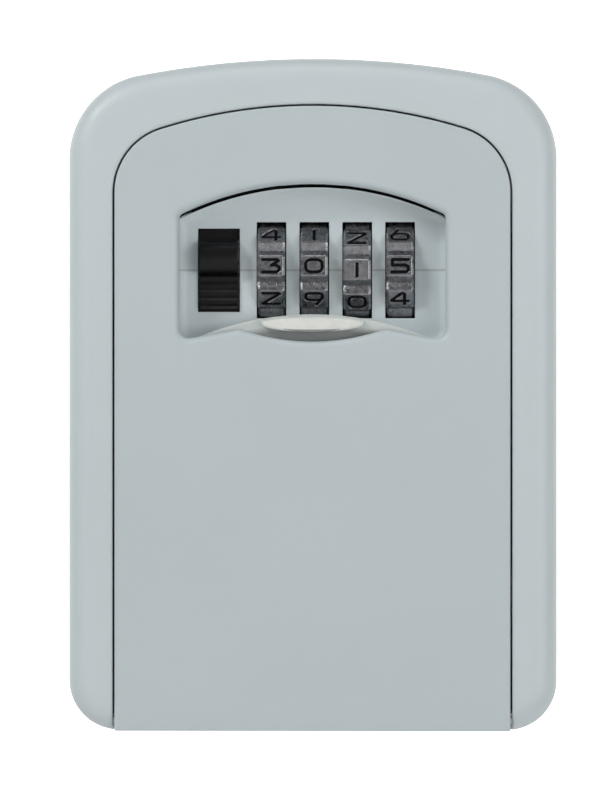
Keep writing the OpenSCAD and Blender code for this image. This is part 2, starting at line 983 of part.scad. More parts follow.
module reset_fork() {
  slot = shaft_r * 2 + 0.3;
  color([0.7, 0.71, 0.73])
    stand()
      difference() {
        block(fork_x - fork_t / 2, dial_y - fork_half, fork_t, fork_half * 2, axis_in - 2.7, slider_in);
        block(fork_x - fork_t / 2, dial_y - slot / 2, fork_t * 2, slot, 0, axis_in);
        across(fork_x - fork_t * 2, dial_y, axis_in)
          cylinder(r = slot / 2, h = fork_t * 4);
      }
}

module reset_lever() {
  color([0.08, 0.08, 0.09])
    stand()
      union() {
        block(
          reset_x - 0.3, dial_y - fork_half, reset_w + 1.5, fork_half * 2,
          slider_in, slider_in + slider_t
        );
        block(
          reset_x, dial_y - reset_h / 2, reset_w, reset_h,
          slider_in + slider_t - eps, cover_back + tab_h
        );
        for (x = [-1.4, 0, 1.4])
          translate([reset_x + x, dial_y - reset_h / 2, out(cover_back + tab_h)])
            rotate([-90, 0, 0])
              cylinder(r = 0.4, h = reset_h);
      }
}

housing();
strike_plate();
strike_rivets();
hinge_pin(-1);  // hinge_pin_left
hinge_pin(1);  // hinge_pin_right
door_shell();
lock_case();
rear_cover();
cover_screws();
case_screws();
dial_shaft();
shaft_clips();
detent_spring();
hub_spring();
latch_spring();
shutter();
shutter_springs();
open_lever();
latch_plate();
latch_pin();
dial(1);  // dial_1
dial(2);  // dial_2
dial(3);  // dial_3
dial(4);  // dial_4
hub(1);  // hub_1
hub(2);  // hub_2
hub(3);  // hub_3
hub(4);  // hub_4
reset_lever();
reset_fork();
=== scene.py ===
"""The finished look of a wall-mounted key lock box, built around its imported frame.

Everything is in metres in the frame's own axes: +Z up, +X to the right, the front towards -Y, and the
origin in the middle of the back face. Outlines are closed rings of points in the front view, and most
pieces are lofts: a list of rings, each at its own depth, skinned into one closed surface.
"""

import json
import logging
import math
from dataclasses import dataclass, field
from enum import Enum

import bmesh
import bpy
import numpy as np
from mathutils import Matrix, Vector


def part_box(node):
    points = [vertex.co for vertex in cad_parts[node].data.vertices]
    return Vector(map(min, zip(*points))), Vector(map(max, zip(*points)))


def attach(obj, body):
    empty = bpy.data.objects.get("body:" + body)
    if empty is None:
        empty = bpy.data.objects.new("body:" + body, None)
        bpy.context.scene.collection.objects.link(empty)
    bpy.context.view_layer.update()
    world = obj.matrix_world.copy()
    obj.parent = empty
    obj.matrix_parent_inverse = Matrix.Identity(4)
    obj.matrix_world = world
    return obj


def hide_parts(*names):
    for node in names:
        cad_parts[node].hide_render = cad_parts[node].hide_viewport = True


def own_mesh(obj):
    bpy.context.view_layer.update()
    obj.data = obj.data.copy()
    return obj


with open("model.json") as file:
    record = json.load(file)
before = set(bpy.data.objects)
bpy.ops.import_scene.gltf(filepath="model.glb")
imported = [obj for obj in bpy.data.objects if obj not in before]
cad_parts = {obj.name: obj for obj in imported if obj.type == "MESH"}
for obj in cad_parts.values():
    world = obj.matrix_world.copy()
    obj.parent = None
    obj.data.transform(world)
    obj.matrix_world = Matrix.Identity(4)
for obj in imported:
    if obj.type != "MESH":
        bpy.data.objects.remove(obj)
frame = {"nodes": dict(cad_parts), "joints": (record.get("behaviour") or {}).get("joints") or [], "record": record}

log = logging.getLogger("key_lock_box")

MM = 0.001


class Slot(Enum):
    """The record's material slots, one named for each new piece."""

    DOOR = "door_paint"
    PANEL = "panel_paint"
    SHUTTER = "shutter_plastic"
    LEVER = "lever_plastic"
    DIAL = "dial_zinc"
    COVER = "dark_cover"


class Lay(Enum):
    """The direction of the fine scratches on a bare metal."""

    ACROSS = (0.02, 1.0, 1.0)
    UP = (1.0, 1.0, 0.02)
    NONE = (1.0, 1.0, 1.0)


# ---------------------------------------------------------------- shaders


class ShaderTree:
    """A material's node tree, with short calls for the nodes that the finishes share."""

    def __init__(self, name: str) -> None:
        """Starts an empty material with a Principled shader and an output.

        Args:
            name: the material's name.
        """
        self.material = bpy.data.materials.new(name)
        self.material.use_nodes = True
        self.tree = self.material.node_tree
        self.tree.nodes.clear()
        self.shader = self.add("ShaderNodeBsdfPrincipled")
        output = self.add("ShaderNodeOutputMaterial")
        self.link(self.shader.outputs["BSDF"], output.inputs["Surface"])
        self.coordinates = self.add("ShaderNodeTexCoord")

    def add(self, kind: str) -> bpy.types.Node:
        """Adds a node of this kind."""
        return self.tree.nodes.new(kind)

    def link(self, start: bpy.types.NodeSocket, end: bpy.types.NodeSocket) -> None:
        """Links one socket to another."""
        self.tree.links.new(start, end)

    def noise(self, scale: float, detail: float = 3.0, stretch: tuple[float, float, float] = (1, 1, 1)):
        """Adds object-space noise and returns its value socket.

        Args:
            scale: waves per metre.
            detail: octaves of finer noise.
            stretch: how much each axis is scaled before the noise.

        Returns:
            The noise's factor output.
        """
        mapping = self.add("ShaderNodeMapping")
        mapping.inputs["Scale"].default_value = stretch
        self.link(self.coordinates.outputs["Object"], mapping.inputs["Vector"])
        node = self.add("ShaderNodeTexNoise")
        node.inputs["Scale"].default_value = scale
        node.inputs["Detail"].default_value = detail
        self.link(mapping.outputs["Vector"], node.inputs["Vector"])
        return node.outputs["Fac"]

    def remap(self, value, low: float, high: float, start: float = 0.3, stop: float = 0.7):
        """Maps a socket's start..stop onto low..high and returns the new socket."""
        node = self.add("ShaderNodeMapRange")
        node.inputs["From Min"].default_value = start
        node.inputs["From Max"].default_value = stop
        node.inputs["To Min"].default_value = low
        node.inputs["To Max"].default_value = high
        self.link(value, node.inputs["Value"])
        return node.outputs["Result"]

    def blend(self, factor, first: tuple[float, float, float], second: tuple[float, float, float]):
        """Mixes two colours by a socket and returns the colour socket."""
        node = self.add("ShaderNodeMix")
        node.data_type = "RGBA"
        self.link(factor, node.inputs["Factor"])
        node.inputs["A"].default_value = (*first, 1.0)
        node.inputs["B"].default_value = (*second, 1.0)
        return node.outputs["Result"]

    def place(self) -> dict[str, bpy.types.NodeSocket]:
        """Returns the object-space x, y and z sockets by name."""
        split = self.add("ShaderNodeSeparateXYZ")
        self.link(self.coordinates.outputs["Object"], split.inputs["Vector"])
        return {axis: split.outputs[axis] for axis in "XYZ"}

    def math(self, operation: str, first, second):
        """Works one sum on sockets or plain numbers and returns the result's socket."""
        node = self.add("ShaderNodeMath")
        node.operation = operation
        for socket, value in zip(node.inputs, (first, second)):
            if isinstance(value, (int, float)):
                socket.default_value = value
            else:
                self.link(value, socket)
        return node.outputs["Value"]

    def tint(self, colour, factor, second: tuple[float, float, float]):
        """Mixes a colour socket towards a fixed colour by a factor socket and returns the result."""
        node = self.add("ShaderNodeMix")
        node.data_type = "RGBA"
        self.link(factor, node.inputs["Factor"])
        self.link(colour, node.inputs["A"])
        node.inputs["B"].default_value = (*second, 1.0)
        return node.outputs["Result"]

    def attribute(self, name: str):
        """Returns the factor socket of a point attribute."""
        node = self.add("ShaderNodeAttribute")
        node.attribute_name = name
        return node.outputs["Fac"]

    def round_edges(self, radius: float) -> None:
        """Shades the edges of the piece as if they were rounded by this radius."""
        node = self.add("ShaderNodeBevel")
        node.samples = 6
        node.inputs["Radius"].default_value = radius
        self.link(node.outputs["Normal"], self.shader.inputs["Normal"])

    def bump(self, height, strength: float, distance: float) -> None:
        """Feeds a height socket into the shader's normal, over any bump that is there."""
        node = self.add("ShaderNodeBump")
        node.inputs["Strength"].default_value = strength
        node.inputs["Distance"].default_value = distance
        self.link(height, node.inputs["Height"])
        normal = self.shader.inputs["Normal"]
        if normal.is_linked:
            self.link(normal.links[0].from_socket, node.inputs["Normal"])
        self.link(node.outputs["Normal"], normal)

    def colour(self, socket) -> None:
        """Links a colour socket to the shader's base colour."""
        self.link(socket, self.shader.inputs["Base Color"])

    def roughness(self, socket) -> None:
        """Links a value socket to the shader's roughness."""
        self.link(socket, self.shader.inputs["Roughness"])


def shade(colour: tuple[float, float, float], by: float) -> tuple[float, float, float]:
    """Returns a colour made darker or lighter by a factor."""
    return tuple(min(1.0, max(0.0, c * by)) for c in colour)


@dataclass(frozen=True)
class SatinPaint:
    """Baked paint on die-cast metal: even, satin, with a faint orange peel and cast-in ripple."""

    name: str
    colour: tuple[float, float, float]
    gloss: float = 0.42
    mottling: float = 0.012
    peel: float = 0.035
    soft_edges: float = 0.0
    scribed_at: float | None = None
    scribed_front: float = 0.0

    def material(self) -> bpy.types.Material:
        """Builds the paint.

        Returns:
            The material.
        """
        tree = ShaderTree(self.name)
        colour = tree.blend(
            tree.remap(tree.noise(45, 4), 0, 1), shade(self.colour, 1 - self.mottling),
            shade(self.colour, 1 + self.mottling),
        )
        if self.scribed_at is not None:
            place = tree.place()
            off = tree.math("ABSOLUTE", tree.math("SUBTRACT", place["Z"], self.scribed_at), 0.0)
            line_here = tree.remap(off, 1, 0, 0.08 * MM, 0.26 * MM)
            on_front = tree.math("LESS_THAN", place["Y"], self.scribed_front)
            scribe = tree.math("MULTIPLY", line_here, on_front)
            # The scribed line is darkened to 0.72 of the paint as painted shade in its groove; the bump gives the
            # groove its dent.
            colour = tree.tint(colour, scribe, shade(self.colour, 0.72))
            tree.bump(scribe, -0.6, 0.0002)
        tree.colour(colour)
        tree.roughness(tree.remap(tree.noise(900, 2), self.gloss - 0.04, self.gloss + 0.05))
        if self.soft_edges:
            tree.round_edges(self.soft_edges)
        tree.bump(tree.noise(60, 1), 0.05, 0.0006)
        tree.bump(tree.noise(2200, 2), self.peel, 0.0002)
        tree.shader.inputs["Specular IOR Level"].default_value = 0.45
        return tree.material


@dataclass(frozen=True)
class MouldedPlastic:
    """Moulded plastic with a fine spark-eroded grain, and if asked a painted shadow in an oval about a height."""

    name: str
    colour: tuple[float, float, float]
    gloss: float = 0.4
    grain: float = 0.08
    shine: float = 0.5
    lip_shadow_at: float | None = None

    def material(self) -> bpy.types.Material:
        """Builds the plastic.

        Returns:
            The material.
        """
        tree = ShaderTree(self.name)
        grain = tree.remap(tree.noise(300, 4), 0, 1)
        colour = tree.blend(grain, shade(self.colour, 0.97), shade(self.colour, 1.03))
        if self.lip_shadow_at is not None:
            place = tree.place()
            across = tree.math("POWER", tree.math("DIVIDE", place["X"], 13.0 * MM), 2.0)
            above = tree.math("SUBTRACT", place["Z"], self.lip_shadow_at)
            up = tree.math("POWER", tree.math("DIVIDE", above, 2.0 * MM), 2.0)
            far = tree.math("ADD", across, up)
            # Painted shadow under the shutter's lip: the colour darkens towards 0.42 of itself in an oval 13 mm
            # across and 2 mm tall about this height.
            colour = tree.tint(colour, tree.remap(far, 1, 0, 0.55, 1.25), shade(self.colour, 0.42))
        tree.colour(colour)
        tree.roughness(tree.remap(tree.noise(1200, 3), self.gloss - 0.05, self.gloss + 0.05))
        tree.shader.inputs["Specular IOR Level"].default_value = self.shine
        tree.bump(tree.noise(4500, 3), self.grain, 0.0001)
        return tree.material


@dataclass(frozen=True)
class BareMetal:
    """Bare metal with a scratch direction and patches of duller finish."""

    name: str
    colour: tuple[float, float, float]
    gloss: float = 0.32
    lay: Lay = Lay.NONE
    scratches: float = 0.06

    def material(self) -> bpy.types.Material:
        """Builds the metal.

        Returns:
            The material.
        """
        tree = ShaderTree(self.name)
        tree.shader.inputs["Metallic"].default_value = 1.0
        patch = tree.noise(500, 4)
        tree.colour(tree.blend(tree.remap(patch, 0, 1), shade(self.colour, 0.86), shade(self.colour, 1.08)))
        tree.roughness(tree.remap(patch, self.gloss - 0.06, self.gloss + 0.12))
        tree.bump(tree.noise(3500, 3, self.lay.value), self.scratches, 0.0001)
        return tree.material


@dataclass(frozen=True)
class DialZinc:
    """Worn zinc with black paint left in the engraved figures, and rougher grooves.

    The piece's own attributes say where: "ink" is 1 in a figure and "groove" is 1 between the lands.
    """

    name: str
    colour: tuple[float, float, float] = (0.27, 0.27, 0.285)
    ink: tuple[float, float, float] = (0.006, 0.006, 0.007)
    gloss: float = 0.27

    def material(self) -> bpy.types.Material:
        """Builds the two finishes and mixes them by the ink attribute.

        Returns:
            The material.
        """
        tree = ShaderTree(self.name)
        ink = tree.attribute("ink")
        groove = tree.attribute("groove")
        patch = tree.remap(tree.noise(900, 5), 0, 1)
        stain = tree.blend(patch, shade(self.colour, 0.78), shade(self.colour, 1.25))
        tree.colour(tree.tint(stain, ink, self.ink))
        tree.link(tree.math("SUBTRACT", 1.0, ink), tree.shader.inputs["Metallic"])
        tree.roughness(tree.remap(tree.noise(1500, 3), self.gloss - 0.07, self.gloss + 0.16))
        tree.shader.inputs["Specular IOR Level"].default_value = 0.08
        tree.bump(tree.noise(2600, 4), 0.14, 0.0001)
        grit = tree.math("MULTIPLY", tree.noise(5200, 2), groove)
        tree.bump(grit, 0.5, 0.00025)
        return tree.material


# ---------------------------------------------------------------- meshes


def raw_object(name: str, points: np.ndarray, quads: np.ndarray) -> bpy.types.Object:
    """Makes a smooth-shaded object at the origin from points and quads, just as they are."""
    mesh = bpy.data.meshes.new(name)
    mesh.from_pydata(points.reshape(-1, 3), [], quads.tolist())
    mesh.polygons.foreach_set("use_smooth", np.ones(len(mesh.polygons), bool))
    thing = bpy.data.objects.new(name, mesh)
    bpy.context.scene.collection.objects.link(thing)
    return thing


def put_mesh(
    name: str, points: np.ndarray, quads: np.ndarray, smooth_angle: float = 40.0
) -> bpy.types.Object:
    """Makes an object at the origin from points and quads, merges doubles and turns faces outwards.

    Args:
        name: the object's name.
        points: an array of places, n by 3, in metres.
        quads: an array of corner numbers, m by 4.
        smooth_angle: faces that meet at less than this many degrees are shaded smooth.

    Returns:
        The new object, linked to the scene.
    """
    thing = raw_object(name, points, quads)
    mesh = thing.data
    work = bmesh.new()
    work.from_mesh(mesh)
    bmesh.ops.remove_doubles(work, verts=work.verts, dist=1e-7)
    bmesh.ops.dissolve_degenerate(work, edges=work.edges, dist=1e-7)
    bmesh.ops.recalc_face_normals(work, faces=work.faces)
    if work.calc_volume(signed=True) < 0:
        bmesh.ops.reverse_faces(work, faces=work.faces)
    work.to_mesh(mesh)
    work.free()
    mesh.polygons.foreach_set("use_smooth", np.ones(len(mesh.polygons), bool))
    mesh.set_sharp_from_angle(angle=math.radians(smooth_angle))
    return thing


def grid_quads(rows: int, columns: int, wrap_rows: bool, wrap_columns: bool) -> np.ndarray:
    """Numbers the quads of a grid of points: each joins a point to the next in both directions.

    Args:
        rows: number of rows.
        columns: number of columns.
        wrap_rows: join the last row to the first.
        wrap_columns: join the last column to the first.

    Returns:
        An array of corner numbers, m by 4.
    """
    i = np.arange(rows if wrap_rows else rows - 1)[:, None]
    j = np.arange(columns if wrap_columns else columns - 1)[None, :]
    below, beside = (i + 1) % rows, (j + 1) % columns
    corners = [i * columns + j, i * columns + beside, below * columns + beside, below * columns + j]
    return np.stack([c + 0 * (i + j) for c in corners], -1).reshape(-1, 4)


def skin(
    name: str, grid: np.ndarray, wrap_rows: bool = True, wrap_columns: bool = True, smooth_angle: float = 40.0
) -> bpy.types.Object:
    """Makes a closed surface from a grid of places, rows by columns by 3."""
    rows, columns = grid.shape[:2]
    quads = grid_quads(rows, columns, wrap_rows, wrap_columns)
    return put_mesh(name, grid.reshape(-1, 3), quads, smooth_angle)


def arc(centre: tuple[float, float], radius: float, start: float, stop: float, count: int) -> np.ndarray:
    """Points at even angles, in degrees, along a circle's arc, with the last one left off."""
    a = np.radians(np.linspace(start, stop, count + 1)[:-1])
    return np.stack([centre[0] + radius * np.cos(a), centre[1] + radius * np.sin(a)], -1)


def line(first: tuple[float, float], last: tuple[float, float], count: int) -> np.ndarray:
    """Even points along a straight line, with the last one left off."""
    t = np.linspace(0, 1, count + 1)[:-1, None]
    return np.array(first) * (1 - t) + np.array(last) * t


@dataclass(frozen=True)
class Arch:
    """A closed outline with an arched top: sides, upper corners, arch, lower corners and foot.

    Each corner's arc is tangent to the side and to the arch, so its centre lies where a circle about the
    arch's centre, smaller by the corner's radius, meets the line one radius inside the side.
    """

    half: float
    foot: float
    top: float
    arch_r: float
    corner_r: float
    foot_r: float
    step: float = 0.0

    def inset(self, by: float) -> "Arch":
        """The same outline drawn in by a distance all round."""
        return Arch(
            self.half - by, self.foot + by, self.top - by, self.arch_r - by, self.corner_r - by,
            max(self.foot_r - by, 0.05 * MM), self.step,
        )

    def ring(self) -> np.ndarray:
        """The outline's points, clockwise from the left side's foot.

        Returns:
            An array of x and z, 2 columns, the same length for every outline.
        """
        centre_z = self.top - self.arch_r
        x = self.half - self.corner_r
        z = centre_z + math.sqrt((self.arch_r - self.corner_r) ** 2 - x ** 2)
        lean = math.degrees(math.atan2(z - centre_z, x))
        low = self.foot + self.foot_r
        mark = max(self.step, low + 0.1 * MM)
        up = [line((-self.half, low), (-self.half, mark), 8), line((-self.half, mark), (-self.half, z), 40)]
        left_corner = arc((-x, z), self.corner_r, 180, 180 - lean, 28)
        over = arc((0, centre_z), self.arch_r, 180 - lean, lean, 120)
        right_corner = arc((x, z), self.corner_r, lean, 0, 28)
        down = [line((self.half, z), (self.half, mark), 40), line((self.half, mark), (self.half, low), 8)]
        right_foot = arc((self.half - self.foot_r, low), self.foot_r, 0, -90, 16)
        sole = line((self.half - self.foot_r, self.foot), (self.foot_r - self.half, self.foot), 120)
        left_foot = arc((self.foot_r - self.half, low), self.foot_r, -90, -180, 16)
        return np.concatenate([*up, left_corner, over, right_corner, *down, right_foot, sole, left_foot])


def outward(ring: np.ndarray, by: float) -> np.ndarray:
    """Moves a clockwise ring outwards: each point goes along the normal of the chord of its neighbours."""
    chord = np.roll(ring, -1, 0) - np.roll(ring, 1, 0)
    chord /= np.maximum(np.linalg.norm(chord, axis=1, keepdims=True), 1e-12)
    return ring + by * np.stack([-chord[:, 1], chord[:, 0]], -1)


def at_depth(ring: np.ndarray, y: float | np.ndarray) -> np.ndarray:
    """Stands a front-view ring at a depth, as places in x, y and z."""
    return np.stack([ring[:, 0], np.broadcast_to(y, ring.shape[:1]), ring[:, 1]], -1)


def quarter(count: int = 6) -> tuple[np.ndarray, np.ndarray]:
    """The sine and one minus the cosine along a quarter turn, for fillets."""
    a = np.linspace(0, math.pi / 2, count + 1)
    return np.sin(a), 1 - np.cos(a)


def lathe(
    name: str, profile: np.ndarray, middle: tuple[float, float, float], count: int = 64
) -> bpy.types.Object:
    """Turns a closed profile of (x, radius) about a line along X through middle.

    Args:
        name: the object's name.
        profile: an array of places along the axis and radii.
        middle: a point on the axis.
        count: steps round the axis.

    Returns:
        The turned piece.
    """
    a = np.linspace(0, 2 * math.pi, count, endpoint=False)[None, :]
    x = profile[:, 0][:, None] + 0 * a
    radius = profile[:, 1][:, None]
    grid = np.stack([middle[0] + x, middle[1] + radius * np.cos(a), middle[2] + radius * np.sin(a)], -1)
    return skin(name, grid)


def slab(
    name: str, low: tuple[float, float, float], high: tuple[float, float, float], round_r: float
) -> bpy.types.Object:
    """A block with all its edges rounded: level sections of a round-cornered rectangle, shrunk at both ends.

    Args:
        name: the object's name.
        low: the lowest corner.
        high: the highest corner.
        round_r: the rounding.

    Returns:
        The block.
    """
    low, high = np.array(low), np.array(high)
    sine, fall = quarter(4)
    heights = np.concatenate([low[2] + round_r * (1 - sine[::-1]), high[2] - round_r * (1 - sine)])
    insets = np.concatenate([round_r * fall[::-1], round_r * fall])
    rings = []
    for z, inset in zip(heights, insets):
        r = max(round_r - inset, 1e-5)
        x0, x1, y0, y1 = low[0] + inset, high[0] - inset, low[1] + inset, high[1] - inset
        ring = np.concatenate([
            arc((x1 - r, y1 - r), r, 0, 90, 4), [[x1 - r, y1]],
            arc((x0 + r, y1 - r), r, 90, 180, 4), [[x0, y1 - r]],
            arc((x0 + r, y0 + r), r, 180, 270, 4), [[x0 + r, y0]],
            arc((x1 - r, y0 + r), r, 270, 360, 4), [[x1, y0 + r]],
        ])
        rings.append(np.column_stack([ring, np.full(len(ring), z)]))
    grid = np.array(rings)
    middle = grid.mean(1, keepdims=True) + 0 * grid
    return skin(name, np.concatenate([middle[:1], grid, middle[-1:]]), wrap_rows=False)


def dress(piece: bpy.types.Object, body: str, slot: Slot, material: bpy.types.Material, *nodes: str) -> None:
    """Gives a piece its body and material, hides the CAD nodes that it stands for, and reports it."""
    piece.data.materials.clear()
    piece.data.materials.append(material)
    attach(piece, body)
    if nodes:
        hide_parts(*nodes)
    log.info("%s rides on %s, %d faces", piece.name, body, len(piece.data.polygons))


# ---------------------------------------------------------------- the box's own places


@dataclass(frozen=True)
class Places:
    """Heights, widths and depths that several pieces share, read from the frame."""

    foot: float = field(default_factory=lambda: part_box("housing")[0].z)
    top: float = field(default_factory=lambda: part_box("housing")[1].z)
    front: float = field(default_factory=lambda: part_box("housing")[0].y)
    half: float = field(default_factory=lambda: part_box("housing")[1].x)
    door_half: float = field(default_factory=lambda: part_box("door_shell")[1].x)
    door_top: float = field(default_factory=lambda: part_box("door_shell")[1].z)
    dial_low: float = field(default_factory=lambda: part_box("dial_3")[0].z)
    dial_high: float = field(default_factory=lambda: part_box("dial_3")[1].z)

    @property
    def dial_z(self) -> float:
        """Height of the dial axis."""
        return (self.dial_low + self.dial_high) / 2

    def depth(self, mm: float) -> float:
        """The y of something this many millimetres behind the front face."""
        return self.front + mm * MM


@dataclass
class Door:
    """The door: plate with a filleted window, flanges, hinge barrel and shutter guides."""

    at: Places
    plate: float = 2.0 * MM
    flange: float = 1.8 * MM
    flange_depth: float = 8.0 * MM
    flange_foot: float = 4.4 * MM
    arch_r: float = 88 * MM
    corner_r: float = 11.5 * MM
    edge_r: float = 0.3 * MM
    lip_r: float = 1.3 * MM
    window_half: float = 23.15 * MM
    window_arch_r: float = 52 * MM
    window_over: float = 14.9 * MM
    window_under: float = 12.0 * MM
    scoop_half: float = 12.2 * MM
    scoop_deep: float = 2.0 * MM
    shoulder: float = 1.5 * MM
    tab_half: float = 5.6 * MM
    tab_drop: float = 0.05 * MM

    def outline(self) -> Arch:
        """The door's own outline."""
        return Arch(
            self.at.door_half, self.at.foot, self.at.door_top, self.arch_r, self.corner_r, 0.3 * MM,
            self.at.foot + self.flange_foot,
        )

    def window(self) -> np.ndarray:
        """The window's ring: an arched top and a sill that rises to two shoulders round a finger scoop.

        The sill's height is the softened lower of two curves: a smooth rise towards the shoulders, and the
        arc of the scoop.

        Returns:
            The ring's points.
        """
        base = self.at.dial_z - self.window_under
        ring = Arch(
            self.window_half, base, self.at.dial_z + self.window_over, self.window_arch_r, 1.0 * MM, 1.8 * MM
        ).ring()
        x = np.abs(ring[:, 0])
        ease = np.clip((self.window_half - 1.5 * MM - x) / (self.window_half - 1.5 * MM - self.scoop_half), 0, 1)
        rise = self.shoulder * 1.25 * ease ** 1.15
        radius = (self.scoop_half ** 2 + self.scoop_deep ** 2) / (2 * self.scoop_deep)
        bowl = self.shoulder - self.scoop_deep + radius - np.sqrt(np.maximum(radius ** 2 - x ** 2, 0))
        soft = 0.25 * MM
        sill = (rise + bowl - np.sqrt((rise - bowl) ** 2 + soft ** 2)) / 2
        near = np.clip(1 - (ring[:, 1] - base) / (4 * MM), 0, 1)
        ring[:, 1] += np.where(ring[:, 1] < base + 4 * MM, sill * near, 0)
        return self.tab(ring)

    def tab(self, ring: np.ndarray) -> np.ndarray:
        """Drops the middle of the arch a little, where the window has a shallow tab."""
        drop = smooth_step((self.tab_half - np.abs(ring[:, 0])) / (0.35 * MM)) * self.tab_drop
        return ring - np.stack([0 * drop, np.where(ring[:, 1] > self.at.dial_z, drop, 0)], -1)

    def shell(self) -> bpy.types.Object:
        """Skins the door: window wall, window fillet, face, edge fillet, flanges and inner face.

        Returns:
            The door's shell, one closed surface.
        """
        window, edge = self.window(), self.outline()
        front, sheet = self.at.front, self.at.front + self.plate
        tall = edge.ring()[:, 1] > self.at.foot + self.flange_foot
        back = np.where(tall, front + self.flange_depth, sheet + 0.05 * MM)
        sine, fall = quarter(8)
        rows = [at_depth(window, sheet), at_depth(window, front + self.lip_r + 0.2 * MM)]
        rows += [
            at_depth(outward(window, self.lip_r * f), front + self.lip_r * (1 - s)) for s, f in zip(sine, fall)
        ]
        inner, outer = outward(window, self.lip_r), edge.inset(self.edge_r).ring()
        rows += [at_depth(inner * (1 - t) + outer * t, front) for t in np.linspace(0, 1, 14)[1:-1]]
        sine, fall = quarter(5)
        rows += [
            at_depth(edge.inset(self.edge_r * (1 - s)).ring(), front + self.edge_r * f)
            for s, f in zip(sine, fall)
        ]
        rows += [at_depth(edge.ring(), np.minimum(back - 0.3 * MM, front + self.flange_depth))]
        rows += [at_depth(edge.inset(0.3 * MM).ring(), back)]
        inside = edge.inset(self.flange).ring()
        rows += [at_depth(inside, back), at_depth(inside, sheet)]
        rows += [at_depth(inside * (1 - t) + window * t, sheet) for t in np.linspace(0, 1, 8)[1:-1]]
        return skin("door_shell_cast", np.array(rows), smooth_angle=50)

    def barrel(self) -> bpy.types.Object:
        """Turns the hinge barrel, bored for the pins.

        Returns:
            The barrel.
        """
        low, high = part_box("hinge_pin_left")
        radius, bore, soft = 2.2 * MM, (high.z - low.z) / 2 + 0.05 * MM, 0.2 * MM
        half = self.at.door_half
        profile = np.array([
            [-half, bore], [-half, radius - soft], [-half + soft, radius], [half - soft, radius],
            [half, radius - soft], [half, bore],
        ])
        return lathe("door_hinge_barrel", profile, (0, (low.y + high.y) / 2, (low.z + high.z) / 2))

    def guides(self) -> list[bpy.types.Object]:
        """Makes the two ribs that the shutter slides between."""
        low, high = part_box("shutter")
        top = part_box("lock_case")[1].z
        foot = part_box("lock_case")[0].z
        return [
            slab(
                f"shutter_guide_{word}",
                (min(x, x + way * 1.2 * MM), self.at.front + self.plate - 0.05 * MM, foot),
                (max(x, x + way * 1.2 * MM), self.at.depth(3.48), top), 0.2 * MM,
            )
            for word, way, x in (("left", -1, low.x - 0.3 * MM), ("right", 1, high.x + 0.3 * MM))
        ]

    def build(self, paint: bpy.types.Material) -> None:
        """Builds and dresses the door's pieces."""
        dress(self.shell(), "door", Slot.DOOR, paint, "door_shell")
        dress(self.barrel(), "door", Slot.DOOR, paint)
        for guide in self.guides():
            dress(guide, "door", Slot.DOOR, paint)


@dataclass
class Recess:
    """The recessed panel's coved walls, and a black sheet behind the slot along the arch that the shutter rises
    through, which paints the shade in the gap.
    """

    door: Door
    cove_r: float = 1.7 * MM
    wall_gap: float = 0.28 * MM
    slot_gap: float = 0.36 * MM
    floor_depth: float = 6.8
    rim_depth: float = 3.6
    shade_sheet_depth: float = 5.4
    arch_from: float = 8.5 * MM
    arch_fall: float = 0.8

    def ring(self, gap: float, drop: float) -> np.ndarray:
        """The recess's outline, this much wider than the window and with its arch this much lower."""
        at, door = self.door.at, self.door
        return door.tab(Arch(
            door.window_half + gap, at.dial_z - door.window_under - 0.85 * MM,
            at.dial_z + door.window_over - drop, door.window_arch_r, 1.6 * MM, 2.4 * MM,
        ).ring())

    def cove(self) -> bpy.types.Object:
        """Skins the walls: upright sides that turn into the panel through a hollow quarter round.

        Along the arch the wall falls to a fifth of its height, so that the panel slopes up to the open slot.

        Returns:
            The walls.
        """
        at, ring = self.door.at, self.ring(self.wall_gap, self.slot_gap)
        floor, sink, rim = at.depth(self.floor_depth), 0.1 * MM, at.depth(self.rim_depth)
        sine, fall = quarter(10)
        rows = [at_depth(outward(ring, sink), floor + sink), at_depth(outward(ring, sink), rim), at_depth(ring, rim)]
        rows += [
            at_depth(outward(ring, -self.cove_r * f), floor - self.cove_r * (1 - s)) for s, f in zip(sine, fall)
        ]
        rows += [at_depth(outward(ring, -self.cove_r), floor + sink)]
        grid = np.array(rows)
        arch = smooth_step((grid[..., 2] - at.dial_z - self.arch_from) / (2.5 * MM))
        y = grid[..., 1]
        grid[..., 1] = np.where(y < floor, floor - (floor - y) * (1 - self.arch_fall * arch), y)
        return skin("recess_cove", grid)

    def shade_sheet(self) -> bpy.types.Object:
        """Skins a black sheet behind the slot's gap, as painted shade: a band behind the gap over the arch, thin
        round the rest.
        """
        at = self.door.at
        outer = self.ring(self.wall_gap, -self.wall_gap)
        inner = np.where(
            outer[:, 1:] > at.dial_z + self.arch_from, self.ring(self.wall_gap, self.slot_gap + 0.06 * MM),
            outward(outer, -0.04 * MM),
        )
        # The sheet sits deep in the gap so that its black paints the shade there.
        near, far = at.depth(self.shade_sheet_depth), at.depth(self.shade_sheet_depth + 0.5)
        rows = [at_depth(outer, near), at_depth(inner, near), at_depth(inner, far), at_depth(outer, far)]
        return skin("shutter_slot_shade_sheet", np.array(rows), smooth_angle=30)

    def build(self, paint: bpy.types.Material, dark: bpy.types.Material) -> None:
        """Builds and dresses the recess's pieces."""
        dress(self.cove(), "door", Slot.PANEL, paint)
        dress(self.shade_sheet(), "door", Slot.COVER, dark)


# ---------------------------------------------------------------- dials


def oval(v: float, half_w: float, half_h: float) -> list[tuple[float, float]]:
    """A closed round-cornered oval about (0, v): a superellipse of the third power."""
    a = np.linspace(0, 2 * math.pi, 25)
    c, d = np.cos(a), np.sin(a)
    x = half_w * np.sign(c) * np.abs(c) ** (2 / 3)
    y = v + half_h * np.sign(d) * np.abs(d) ** (2 / 3)
    return list(zip(x.tolist(), y.tolist()))


